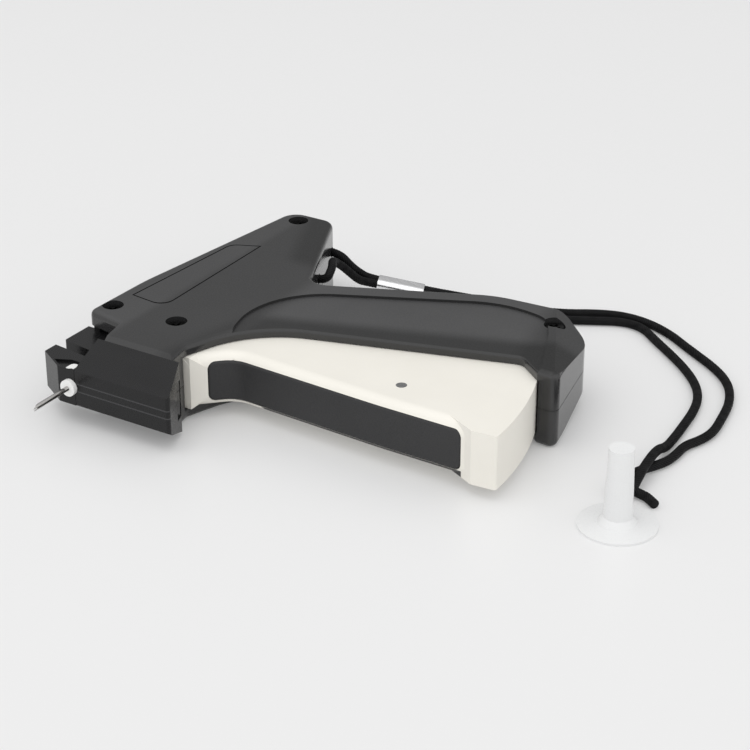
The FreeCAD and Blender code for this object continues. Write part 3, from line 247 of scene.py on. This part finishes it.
def new_group(name, inputs, outputs):
    group = bpy.data.node_groups.new(name, "ShaderNodeTree")
    for label, kind, value in inputs:
        socket = group.interface.new_socket(label, in_out="INPUT", socket_type=kind)
        socket.default_value = value
    for label, kind in outputs:
        group.interface.new_socket(label, in_out="OUTPUT", socket_type=kind)
    return group, group.nodes.new("NodeGroupInput"), group.nodes.new("NodeGroupOutput")


def make_mould_grain():
    """Fine spark-eroded grain of a mould, with wide cloudy changes of tone and gloss."""
    number = "NodeSocketFloat"
    group, given, out = new_group(
        "mould_grain",
        [("Grain Scale", number, 2500.0), ("Cloud Scale", number, 30.0), ("Grain Depth", number, 0.1)],
        [("Normal", "NodeSocketVector"), ("Cloud", number), ("Grain", number)],
    )
    place = coordinates(group, "Object")
    grain = add_noise(group, place, GRAIN_DETAIL)
    group.links.new(given.outputs["Grain Scale"], grain.inputs["Scale"])
    cloud = add_noise(group, place, CLOUD_DETAIL, CLOUD_ROUGHNESS)
    group.links.new(given.outputs["Cloud Scale"], cloud.inputs["Scale"])
    bump = group.nodes.new("ShaderNodeBump")
    bump.inputs["Distance"].default_value = GRAIN_HEIGHT
    group.links.new(given.outputs["Grain Depth"], bump.inputs["Strength"])
    group.links.new(grain.outputs["Fac"], bump.inputs["Height"])
    group.links.new(bump.outputs["Normal"], out.inputs["Normal"])
    group.links.new(cloud.outputs["Fac"], out.inputs["Cloud"])
    group.links.new(grain.outputs["Fac"], out.inputs["Grain"])
    return group


# Zones of the housing's upper face, where light and shade are painted into the tone: a painted
# highlight along the barrel's crown, painted light and shade across the handle, and painted shade at
# the heel and along the low edges of tail and throat. Each has the level way across it, a place where
# it starts, the two reaches between which its value changes, and the value at either. Lengths are in
# millimetres.
HOUSING_PAINTED_LIGHT = {
    "crown": ((0.0, 1.0), (0.0, -6.0), 0.0, 4.0, 1.0, 1.36),
    "scoop": ((0.946, 0.324), (34.0, -42.0), 4.0, 12.0, 0.66, 1.5),
    "on_handle": ((0.0, -1.0), (0.0, -33.0), 0.0, 8.0, 0.0, 1.0),
    "heel": ((0.2, -0.98), (70.0, -113.0), 0.0, 9.0, 1.0, 0.64),
    "low_edge": ((-0.406, 0.914), (117.5, -14.0), 6.0, 13.0, 0.62, 1.0),
    "on_tail": ((1.0, 0.0), (76.0, 0.0), 0.0, 9.0, 0.0, 1.0),
    "above_handle": ((0.0, 1.0), (0.0, -38.0), 0.0, 5.0, 0.0, 1.0),
    "throat": ((0.22, 0.975), (9.0, -31.0), 0.0, 7.0, 0.72, 1.0),
    "before_tail": ((-1.0, 0.0), (52.0, 0.0), 0.0, 12.0, 0.0, 1.0),
}
LYING_FACE = (0.45, 0.85)
UPRIGHT_FACE = (0.3, 0.7)
SHADE_RANGE = (0.48, 1.6)
TONE_RANGE = (0.0, 2.15)
SEAM_HEIGHT = 13.0 * MM
SEAM_HALF_WIDTH = 0.13 * MM


def zone(tree, place, name):
    way, start, near, far, low, high = HOUSING_PAINTED_LIGHT[name]
    return soft_step(tree, reach_along(tree, place, way, start), near * MM, far * MM, low, high)


def zones_together(tree, place):
    """Painted highlight along the barrel's crown, painted light and shade across the scooped handle, and
    painted shade at the heel and along the low edges of tail and throat.
    """
    above = zone(tree, place, "above_handle")
    under_tail = product(tree, zone(tree, place, "on_tail"), above)
    under_barrel = product(tree, zone(tree, place, "before_tail"), above)
    scoop = faded(tree, zone(tree, place, "scoop"), zone(tree, place, "on_handle"))
    shade = product(tree, zone(tree, place, "crown"), scoop)
    shade = product(tree, shade, zone(tree, place, "heel"))
    shade = product(tree, shade, faded(tree, zone(tree, place, "low_edge"), under_tail))
    return product(tree, shade, faded(tree, zone(tree, place, "throat"), under_barrel))


def make_housing_painted_light_and_seam():
    """Tone with the painted light and shade of the housing's zones, and its parting line, where Open is
    0.

    The gloss stays as it is, so the tone takes more than the whole change of brightness.
    """
    number = "NodeSocketFloat"
    group, given, out = new_group("housing_painted_light_and_seam", [], [("Shade", number), ("Open", number)])
    group.nodes.remove(given)
    place = coordinates(group, "Object")
    upward = directions(group, coordinates(group, "Normal"))["Z"]
    lying = soft_step(group, upward, *LYING_FACE, 0.0, 1.0)
    upright = soft_step(group, upward, *UPRIGHT_FACE, 1.0, 0.0)
    seam = line_at(group, directions(group, place)["Z"], SEAM_HEIGHT, SEAM_HALF_WIDTH)
    open_wall = opposite(group, product(group, seam, upright))
    shade = faded(group, zones_together(group, place), lying)
    tone = even_step(group, shade, *SHADE_RANGE, *TONE_RANGE)
    group.links.new(product(group, tone, open_wall), out.inputs["Shade"])
    group.links.new(open_wall, out.inputs["Open"])
    return group


# Finishes.

WALL_TURN = (0.35, 0.95)


def new_finish(name):
    finish = bpy.data.materials.new(name)
    finish.use_nodes = True
    tree = finish.node_tree
    return finish, tree, tree.nodes["Principled BSDF"]


def smoother_walls(tree, roughness, wall_gloss):
    """The given roughness on faces that lie flat, and the walls' own on those that stand."""
    flat = tree.nodes.new("ShaderNodeMath")
    flat.operation = "ABSOLUTE"
    tree.links.new(directions(tree, coordinates(tree, "Normal"))["Z"], flat.inputs[0])
    result = even_step(tree, flat.outputs["Value"], *WALL_TURN, wall_gloss, 1.0)
    tree.links.new(roughness, result.node.inputs["To Max"])
    return result


def moulded(name, dark, light, gloss, grain_depth=0.1, grain_scale=2500.0, cloud_scale=30.0, specular=0.5,
            wall_gloss=None, shade_group=None):
    """Moulded plastic: two close tones in soft clouds, and grain that breaks the gloss.

    Walls that stand upright can be smoother than the faces that lie flat.
    """
    finish, tree, shader = new_finish(name)
    grain = tree.nodes.new("ShaderNodeGroup")
    grain.node_tree = MOULD_GRAIN
    grain.inputs["Grain Scale"].default_value = grain_scale
    grain.inputs["Cloud Scale"].default_value = cloud_scale
    grain.inputs["Grain Depth"].default_value = grain_depth
    tones = blend_tones(tree, ramp(tree, grain.outputs["Cloud"], 0.0, 1.0), dark, light)
    roughness = ramp(tree, grain.outputs["Grain"], *gloss)
    if wall_gloss is not None:
        roughness = smoother_walls(tree, roughness, wall_gloss)
    if shade_group is not None:
        # The housing's group paints light and shade into the tone by zone, and darkens its parting line.
        shading = tree.nodes.new("ShaderNodeGroup")
        shading.node_tree = shade_group
        tones = scaled_tones(tree, tones, shading.outputs["Shade"])
        roughness = faded(tree, roughness, shading.outputs["Open"])
    shader.inputs["Specular IOR Level"].default_value = specular
    tree.links.new(tones, shader.inputs["Base Color"])
    tree.links.new(roughness, shader.inputs["Roughness"])
    tree.links.new(grain.outputs["Normal"], shader.inputs["Normal"])
    return finish


def metal(name, dark, light, gloss, scratch_scale):
    """Worked steel with fine scratches along one way."""
    finish, tree, shader = new_finish(name)
    stretch = tree.nodes.new("ShaderNodeMapping")
    stretch.inputs["Scale"].default_value = scratch_scale
    tree.links.new(coordinates(tree, "Object"), stretch.inputs["Vector"])
    scratches = add_noise(tree, stretch.outputs["Vector"], 3.0)
    scratches.inputs["Scale"].default_value = 1.0
    tones = blend_tones(tree, ramp(tree, scratches.outputs["Fac"], 0.0, 1.0), dark, light)
    tree.links.new(tones, shader.inputs["Base Color"])
    tree.links.new(ramp(tree, scratches.outputs["Fac"], *gloss), shader.inputs["Roughness"])
    shader.inputs["Metallic"].default_value = 1.0
    return finish


def lay_over(finish, mask, tone):
    """Cover a finish with a plain tone where the mask is 1."""
    tree = finish.node_tree
    base = tree.nodes["Principled BSDF"].inputs["Base Color"]
    mix = tree.nodes.new("ShaderNodeMix")
    mix.data_type = "RGBA"
    tree.links.new(base.links[0].from_socket, mix.inputs["A"])
    mix.inputs["B"].default_value = (*tone, 1.0)
    tree.links.new(mask, mix.inputs["Factor"])
    tree.links.new(mix.outputs["Result"], base)


def add_rubber_edge(finish, top, ends, tone):
    """Dark lower lip of the finger pad on the front of the trigger."""
    tree = finish.node_tree
    place = directions(tree, coordinates(tree, "Object"))
    forward = directions(tree, coordinates(tree, "Normal"))["X"]
    under = soft_step(tree, place["Z"], top, top + 0.1 * MM, 1.0, 0.0)
    front = soft_step(tree, forward, -0.7, -0.5, 1.0, 0.0)
    started = soft_step(tree, place["Y"], ends[1] - 2 * MM, ends[1], 1.0, 0.0)
    unended = soft_step(tree, place["Y"], ends[0], ends[0] + 0.3 * MM, 0.0, 1.0)
    lay_over(finish, product(tree, product(tree, under, front), product(tree, started, unended)), tone)


def add_painted_edge_highlights(finish, levels, half_width, tone):
    """Painted highlights: thin lighter lines where two faces of a moulding meet at given heights."""
    tree = finish.node_tree
    height = directions(tree, coordinates(tree, "Object"))["Z"]
    for level in levels:
        lay_over(finish, line_at(tree, height, level * MM, half_width * MM), tone)


def add_painted_stitch_light(finish, groove, crest):
    """Painted shade in the grooves and painted highlights on the crests of a woven cord, read from the
    height that its mesh keeps.
    """
    tree = finish.node_tree
    base = tree.nodes["Principled BSDF"].inputs["Base Color"]
    stitch = tree.nodes.new("ShaderNodeAttribute")
    stitch.attribute_name = "stitch"
    factor = soft_step(tree, stitch.outputs["Fac"], 0.3, 1.0, groove, crest)
    tree.links.new(scaled_tones(tree, base.links[0].from_socket, factor), base)


def paint(node_name, finish):
    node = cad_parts[node_name]
    node.data.materials.clear()
    node.data.materials.append(finish)


# Strap. The strands leave the two holes in the tail, meet in the sleeve, lie on the table in two
# loose curves and end in the knot.

STRAND_NEAR = [
    (87.5, -25.9, 18.0),
    (87.5, -30.3, 18.0),
    (91.8, -30.0, 21.2),
    (97.4, -26.4, 20.8),
    (101.8, -24.5, 18.4),
    (106.2, -24.6, 15.2),
    (109.8, -25.7, 11.4),
    (113.2, -27.3, 7.6),
    (117.41, -28.44, 5.54),
    (126.79, -49.16, 1.76),
    (128.6, -58.5, 1.5),
    (130.4, -70.0, 1.5),
    (131.2, -84.0, 1.5),
    (133.4, -97.0, 1.5),
    (139.4, -107.8, 1.5),
    (143.6, -116.0, 1.5),
    (142.8, -123.8, 1.5),
    (136.6, -131.0, 1.5),
    (129.2, -140.4, 1.5),
    (122.1, -148.7, 1.5),
    (113.9, -156.3, 1.5),
    (105.3, -161.3, 1.5),
    (95.5, -163.9, 1.5),
    (85.3, -165.1, 1.5),
    (76.0, -166.1, 1.5),
    (69.0, -166.5, 1.7),
    (61.8, -166.9, 4.7),
    (50.0, -168.2, 4.8),
    (42.9, -169.0, 2.9),
]
STRAP_TAIL = [
    (39.1, -169.65, 2.4),
    (39.4, -172.2, 1.7),
    (39.0, -175.0, 1.5),
    (36.5, -178.2, 1.5),
]
STRAND_FAR = [
    (112.9, -16.01, 16.0),
    (112.9, -19.6, 16.0),
    (114.4, -23.2, 11.6),
    (116.8, -25.4, 8.6),
    (120.51, -27.04, 5.54),
    (129.89, -47.76, 1.76),
    (131.9, -57.2, 1.5),
    (133.9, -70.0, 1.5),
    (134.8, -83.2, 1.5),
    (138.8, -95.3, 1.5),
    (145.2, -105.4, 1.5),
    (148.2, -114.4, 1.5),
    (147.2, -124.4, 1.5),
    (142.9, -134.1, 1.5),
    (137.6, -141.7, 1.5),
    (132.8, -149.0, 1.5),
    (128.2, -156.0, 1.5),
    (122.4, -162.8, 1.5),
    (115.4, -167.8, 1.5),
    (106.4, -171.4, 1.5),
    (97.0, -173.2, 1.5),
    (86.6, -174.8, 1.5),
    (79.6, -173.6, 1.5),
    (73.6, -170.8, 1.5),
    (66.6, -171.0, 1.5),
    (60.6, -170.2, 1.5),
    (50.0, -165.1, 2.0),
    (43.35, -165.6, 2.9),
]
CORD_RADIUS = 1.5 * MM
BRAID_AROUND = 5
BRAID_PITCH = 2.1 * MM
BRAID_DEPTH = 0.2
BRAID_FULLNESS = 0.6
RING_STEP = 0.28 * MM
RING_SIDES = 20
KNOT = spot(38.9, -166.2, 2.9)
KNOT_STEPS = 24
KNOT_SPREAD = (0.92, 0.68, 1.2)
KNOT_CORD_SHARE = 0.9


def spline_points(name, places, closed=False):
    """Points of one smooth spline whose control points are the places."""
    curve = bpy.data.curves.new(name + "_line", "CURVE")
    curve.dimensions = "3D"
    curve.resolution_u = 24
    spline = curve.splines.new("NURBS")
    spline.points.add(len(places) - 1)
    for point, place in zip(spline.points, places):
        point.co = (*place, 1.0)
    spline.order_u = 3
    if closed:
        spline.use_cyclic_u = True
    else:
        spline.use_endpoint_u = True
    line = bpy.data.objects.new(name + "_line", curve)
    bpy.context.collection.objects.link(line)
    depsgraph = bpy.context.evaluated_depsgraph_get()
    mesh = bpy.data.meshes.new_from_object(line.evaluated_get(depsgraph))
    points = [vertex.co.copy() for vertex in mesh.vertices]
    bpy.data.meshes.remove(mesh)
    bpy.data.objects.remove(line)
    return points + points[:1] if closed else points


def even_points(points, step):
    """The same line in equal steps, and its length."""
    lengths = [(b - a).length for a, b in zip(points, points[1:])]
    whole = sum(lengths)
    count = max(2, round(whole / step))
    even, run, passed = [], 0, 0.0
    for number in range(count + 1):
        reach = whole * number / count
        while run < len(lengths) - 1 and passed + lengths[run] < reach:
            passed += lengths[run]
            run += 1
        share = min(1.0, (reach - passed) / lengths[run])
        even.append(points[run].lerp(points[run + 1], share))
    return even, whole


def stitch_height(turn, run):
    """Height of the woven cover, from 0 to 1, where stitches of two crossing slants rise."""
    one = math.cos(2 * math.pi * (BRAID_AROUND * turn + run))
    two = math.cos(2 * math.pi * (BRAID_AROUND * turn - run))
    return max(abs(one), abs(two))


def braided_rings(line, whole, radius):
    """Corners of the rings along a line, and the height of the stitch at each corner."""
    side = (line[1] - line[0]).orthogonal().normalized()
    corners, heights = [], []
    last = len(line) - 1
    for number, centre in enumerate(line):
        along = (line[min(last, number + 1)] - line[max(0, number - 1)]).normalized()
        side = (side - along * side.dot(along)).normalized()
        other = along.cross(side)
        for corner in range(RING_SIDES):
            turn = corner / RING_SIDES
            height = stitch_height(turn, whole * number / last / BRAID_PITCH)
            heights.append(height)
            reach = radius * (1 - BRAID_DEPTH + BRAID_DEPTH * height ** BRAID_FULLNESS)
            angle = 2 * math.pi * turn
            corners.append(centre + (side * math.cos(angle) + other * math.sin(angle)) * reach)
    return corners, heights


def tube_faces(last):
    """Faces between neighbouring rings, and one face at each end."""
    faces = []
    for number in range(last):
        low, high = number * RING_SIDES, (number + 1) * RING_SIDES
        for corner in range(RING_SIDES):
            after = (corner + 1) % RING_SIDES
            faces.append((low + corner, low + after, high + after, high + corner))
    faces.append(tuple(reversed(range(RING_SIDES))))
    faces.append(tuple(range(last * RING_SIDES, (last + 1) * RING_SIDES)))
    return faces


def braided_tube(name, places, radius, finish, closed=False):
    """A cord with a woven cover, the line it follows and its length."""
    line, whole = even_points(spline_points(name, places, closed), RING_STEP)
    corners, heights = braided_rings(line, whole, radius)
    faces = tube_faces(len(line) - 1)
    mesh = bpy.data.meshes.new(name)
    mesh.from_pydata(corners, [], faces)
    mesh.polygons.foreach_set("use_smooth", [True] * len(faces))
    mesh.attributes.new("stitch", "FLOAT", "POINT").data.foreach_set("value", heights)
    mesh.materials.append(finish)
    tube = bpy.data.objects.new(name, mesh)
    bpy.context.collection.objects.link(tube)
    return tube, line, whole


def knot_loops():
    """The closed line of an overhand knot round its middle."""
    loops = []
    for step in range(KNOT_STEPS):
        turn = 2 * math.pi * step / KNOT_STEPS
        x = math.sin(turn) + 2 * math.sin(2 * turn)
        y = math.cos(turn) - 2 * math.cos(2 * turn)
        z = -math.sin(3 * turn)
        wide, deep, high = KNOT_SPREAD
        loops.append(KNOT + Vector((x * wide, y * deep, z * high)) * MM)
    return loops


def add_strap(finish):
    near_places = [spot(*place) for place in STRAND_NEAR + STRAP_TAIL]
    far_places = [spot(*place) for place in STRAND_FAR]
    near, near_line, near_length = braided_tube("strap_near_cord", near_places, CORD_RADIUS, finish)
    far, far_line, far_length = braided_tube("strap_far_cord", far_places, CORD_RADIUS, finish)
    knot_radius = CORD_RADIUS * KNOT_CORD_SHARE
    knot = braided_tube("strap_tied_knot", knot_loops(), knot_radius, finish, closed=True)[0]
    near_nodes = ("strap_strand_near", "strap_tail")
    for piece, nodes in ((near, near_nodes), (far, ("strap_strand_far",)), (knot, ("strap_knot",))):
        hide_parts(*nodes)
        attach(piece, "housing")


# The finishes of this tool. Gloss is the least and the most roughness.

MOULD_GRAIN = make_mould_grain()
# The housing's tone carries painted light and shade by zone.
housing_grey = moulded(
    "housing_grey",
    dark=(0.021, 0.021, 0.0215),
    light=(0.026, 0.026, 0.0265),
    gloss=(0.42, 0.56),
    grain_depth=0.3,
    grain_scale=2200.0,
    specular=0.54,
    wall_gloss=0.14,
    shade_group=make_housing_painted_light_and_seam(),
)
nose_black = moulded(
    "nose_black",
    dark=(0.006, 0.006, 0.0065),
    light=(0.009, 0.009, 0.0095),
    gloss=(0.2, 0.3),
    grain_scale=3000.0,
    specular=0.28,
)
cover_black = moulded(
    "cover_black",
    dark=(0.006, 0.006, 0.0065),
    light=(0.011, 0.011, 0.0115),
    gloss=(0.2, 0.32),
    grain_scale=3000.0,
    specular=0.28,
)
# Painted highlights on the two edges of the nose cover's band.
add_painted_edge_highlights(cover_black, levels=(12.0, 14.6), half_width=0.2, tone=(0.045, 0.045, 0.047))
trigger_cream = moulded(
    "trigger_cream",
    dark=(0.785, 0.76, 0.695),
    light=(0.825, 0.80, 0.735),
    gloss=(0.38, 0.5),
    grain_depth=0.05,
    grain_scale=3000.0,
)
pad_low, pad_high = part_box("trigger_pad")
lip_ends = (pad_low[1], spot(0.0, -50.0, 0.0).y)
add_rubber_edge(trigger_cream, top=pad_low[2], ends=lip_ends, tone=(0.018, 0.018, 0.019))
pad_black = moulded(
    "pad_black",
    dark=(0.018, 0.018, 0.019),
    light=(0.023, 0.023, 0.024),
    gloss=(0.55, 0.7),
    grain_depth=0.4,
    grain_scale=2600.0,
)
hub_white = moulded("hub_white", dark=(0.82, 0.82, 0.81), light=(0.9, 0.9, 0.89), gloss=(0.3, 0.45))
inner_white = moulded("inner_white", dark=(0.62, 0.62, 0.6), light=(0.7, 0.7, 0.68), gloss=(0.35, 0.5))
cap_milky = moulded(
    "cap_milky",
    dark=(0.74, 0.745, 0.745),
    light=(0.78, 0.785, 0.785),
    gloss=(0.25, 0.4),
    grain_depth=0.05,
    specular=0.3,
)
cord_black = moulded(
    "cord_black",
    dark=(0.002, 0.002, 0.0021),
    light=(0.004, 0.004, 0.0042),
    gloss=(0.4, 0.6),
    grain_depth=0.8,
    grain_scale=6000.0,
    cloud_scale=300.0,
    specular=0.08,
)
# Painted shade in the cord's grooves and painted highlights on its crests.
add_painted_stitch_light(cord_black, groove=0.2, crest=6.0)
screw_black = metal(
    "screw_black",
    dark=(0.008, 0.008, 0.008),
    light=(0.02, 0.02, 0.02),
    gloss=(0.35, 0.5),
    scratch_scale=(900.0, 900.0, 900.0),
)
needle_steel = metal(
    "needle_steel",
    dark=(0.45, 0.44, 0.43),
    light=(0.6, 0.59, 0.57),
    gloss=(0.2, 0.35),
    scratch_scale=(60.0, 2500.0, 2500.0),
)
pin_steel = metal(
    "pin_steel",
    dark=(0.25, 0.25, 0.25),
    light=(0.38, 0.38, 0.38),
    gloss=(0.3, 0.45),
    scratch_scale=(1500.0, 1500.0, 60.0),
)
sleeve_silver = metal(
    "sleeve_silver",
    dark=(0.86, 0.86, 0.87),
    light=(0.95, 0.95, 0.96),
    gloss=(0.16, 0.3),
    scratch_scale=(1500.0, 80.0, 1500.0),
)
floor_white = moulded(
    "floor_white",
    dark=(0.63, 0.63, 0.63),
    light=(0.64, 0.64, 0.64),
    gloss=(0.35, 0.4),
    grain_depth=0.0,
    grain_scale=400.0,
    cloud_scale=2.0,
)
floor_shader = floor_white.node_tree.nodes["Principled BSDF"]
floor_shader.inputs["Emission Color"].default_value = (1.0, 1.0, 1.0, 1.0)
floor_shader.inputs["Emission Strength"].default_value = FLOOR_GLOW

FINISHES = {
    "upper_housing": housing_grey,
    "lower_housing": housing_grey,
    "body_screws": screw_black,
    "nose_cover": cover_black,
    "needle_holder": nose_black,
    "clip_guide": nose_black,
    "needle": needle_steel,
    "needle_hub": hub_white,
    "trigger": trigger_cream,
    "trigger_pad": pad_black,
    "trigger_pin": pin_steel,
    "link_pin": pin_steel,
    "drive_lever": inner_white,
    "lever_bracket": pin_steel,
    "lever_pin": pin_steel,
    "return_spring": pin_steel,
    "push_slider": inner_white,
    "push_rod": pin_steel,
    "feed_wheel": inner_white,
    "feed_axle": pin_steel,
    "feed_pawl": inner_white,
    "pawl_pin": pin_steel,
    "needle_cap": cap_milky,
    "strap_inside": cord_black,
    "strap_strand_near": cord_black,
    "strap_strand_far": cord_black,
    "strap_tail": cord_black,
    "strap_sleeve": sleeve_silver,
    "strap_knot": cord_black,
}

add_camera()
add_tent()
add_lamp("overhead_softbox", place=(-0.2, 0.2, 1.3), target=(0.0, 0.0, 0.0), size=1.0, watts=2.5)
for node_name, finish in FINISHES.items():
    paint(node_name, finish)
add_strap(cord_black)
add_floor(floor_white)
